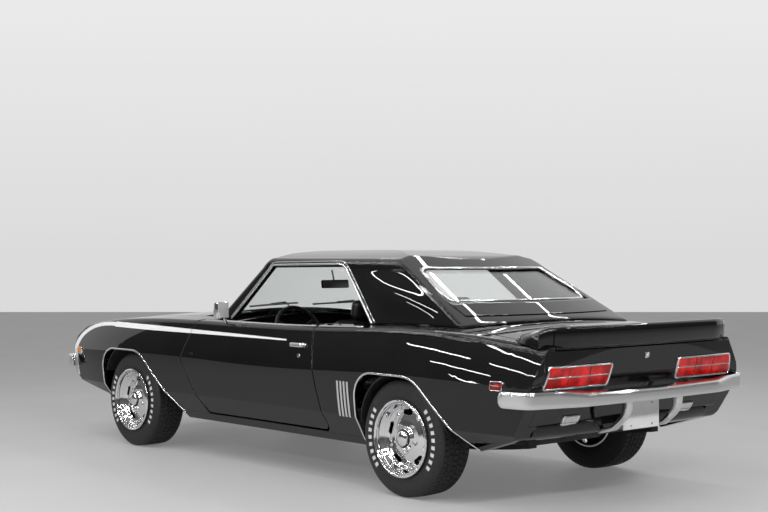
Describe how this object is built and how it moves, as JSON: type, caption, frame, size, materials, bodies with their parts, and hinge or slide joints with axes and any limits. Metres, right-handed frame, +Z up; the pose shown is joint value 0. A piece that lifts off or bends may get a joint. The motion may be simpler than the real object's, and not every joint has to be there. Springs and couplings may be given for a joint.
{
  "type": "muscle car",
  "caption": "Black two-door hardtop coupe with long hood, short deck, spoiler and chrome bumpers; doors, hood and deck lid open, front wheels steer and all wheels roll.",
  "frame": {"origin": "on the ground under the middle of the car", "axes": "+X forward, +Y to the car's left, +Z up"},
  "size_m": [4.724, 1.884, 1.3489],
  "materials": {
    "paint": "gloss",
    "tyre": "matte",
    "chrome": "polished",
    "window_glass": "clear",
    "lamp_glass": "clear",
    "red_lens": "gloss",
    "upholstery": "satin",
    "black_trim": "matte",
    "white_plate": "satin",
    "iron": "rough",
    "steel": "satin",
    "underbody": "satin"
  },
  "bodies": {
    "body": {"control_arms": "underbody", "cowl_panel": "paint", "dashboard": "black_trim", "driveshaft": "underbody", "engine_block": "iron", "exhaust": "steel", "fender_left": "paint", "fender_right": "paint", "firewall": "underbody", "floor_pan": "underbody", "front_bumper": "chrome", "front_seats": "upholstery", "front_subframe": "underbody", "fuel_tank": "underbody", "gills": "chrome", "grille": "black_trim", "headlamps": "lamp_glass", "hinge_brackets": "underbody", "hinge_pillars": "underbody", "leaf_springs": "underbody", "nose_panel": "paint", "plate": "white_plate", "quarter_left": "paint", "quarter_right": "paint", "radiator": "steel", "rear_axle": "iron", "rear_bumper": "chrome", "rear_deck_panel": "paint", "rear_seat": "upholstery", "rear_valance": "paint", "rear_window": "window_glass", "reversing_lamps": "lamp_glass", "rockers": "paint", "roof": "paint", "side_markers": "red_lens", "spoiler_caps": "paint", "steering_column": "black_trim", "tail_lamps": "red_lens", "tail_panel": "paint", "wheelhouses": "underbody", "windshield": "window_glass"},
    "hood": {"hood": "paint"},
    "deck_lid": {"deck_lid": "paint", "spoiler": "paint"},
    "door_left": {"door_left": "paint", "mirror": "paint"},
    "door_right": {"door_right": "paint"},
    "knuckle_left": {"knuckle_left": "iron"},
    "knuckle_right": {"knuckle_right": "iron"},
    "wheel_front_left": {"rim_front_left": "chrome", "tyre_front_left": "tyre"},
    "wheel_front_right": {"rim_front_right": "chrome", "tyre_front_right": "tyre"},
    "wheel_rear_left": {"rim_rear_left": "chrome", "tyre_rear_left": "tyre"},
    "wheel_rear_right": {"rim_rear_right": "chrome", "tyre_rear_right": "tyre"},
    "steering_wheel": {"steering_wheel": "black_trim"}
  },
  "joints": [
    {"name": "hood_lift", "type": "hinge", "parent": "body", "child": "hood", "pos_m": [0.805, 0, 0.84], "axis": [0, -1, 0], "range_deg": [0, 55]},
    {"name": "deck_lid_lift", "type": "hinge", "parent": "body", "child": "deck_lid", "pos_m": [-1.63, 0, 0.873], "axis": [0, 1, 0], "range_deg": [0, 60]},
    {"name": "door_left_swing", "type": "hinge", "parent": "body", "child": "door_left", "pos_m": [0.7, 0.887, 0.64], "axis": [0, 0, -1], "range_deg": [0, 65]},
    {"name": "door_right_swing", "type": "hinge", "parent": "body", "child": "door_right", "pos_m": [0.7, -0.887, 0.64], "axis": [0, 0, 1], "range_deg": [0, 65]},
    {"name": "steer_left", "type": "hinge", "parent": "body", "child": "knuckle_left", "pos_m": [1.43, 0.697, 0.322], "axis": [0, 0, 1], "range_deg": [-33, 33]},
    {"name": "steer_right", "type": "hinge", "parent": "body", "child": "knuckle_right", "pos_m": [1.43, -0.697, 0.322], "axis": [0, 0, 1], "range_deg": [-33, 33]},
    {"name": "steering_wheel_turn", "type": "hinge", "parent": "body", "child": "steering_wheel", "pos_m": [0.215, 0.38, 0.813], "axis": [-0.9063, 0, 0.4226], "range_deg": [-530, 530]},
    {"name": "wheel_front_left_spin", "type": "hinge", "parent": "knuckle_left", "child": "wheel_front_left", "pos_m": [1.43, 0.772, 0.322], "axis": [0, 1, 0], "continuous": true},
    {"name": "wheel_front_right_spin", "type": "hinge", "parent": "knuckle_right", "child": "wheel_front_right", "pos_m": [1.43, -0.772, 0.322], "axis": [0, 1, 0], "continuous": true},
    {"name": "wheel_rear_left_spin", "type": "hinge", "parent": "body", "child": "wheel_rear_left", "pos_m": [-1.313, 0.772, 0.322], "axis": [0, 1, 0], "continuous": true},
    {"name": "wheel_rear_right_spin", "type": "hinge", "parent": "body", "child": "wheel_rear_right", "pos_m": [-1.313, -0.772, 0.322], "axis": [0, 1, 0], "continuous": true}
  ],
  "couplings": [
    {"joint": "steer_right", "follows": "steer_left", "ratio": 1},
    {"joint": "steering_wheel_turn", "follows": "steer_left", "ratio": 16}
  ]
}
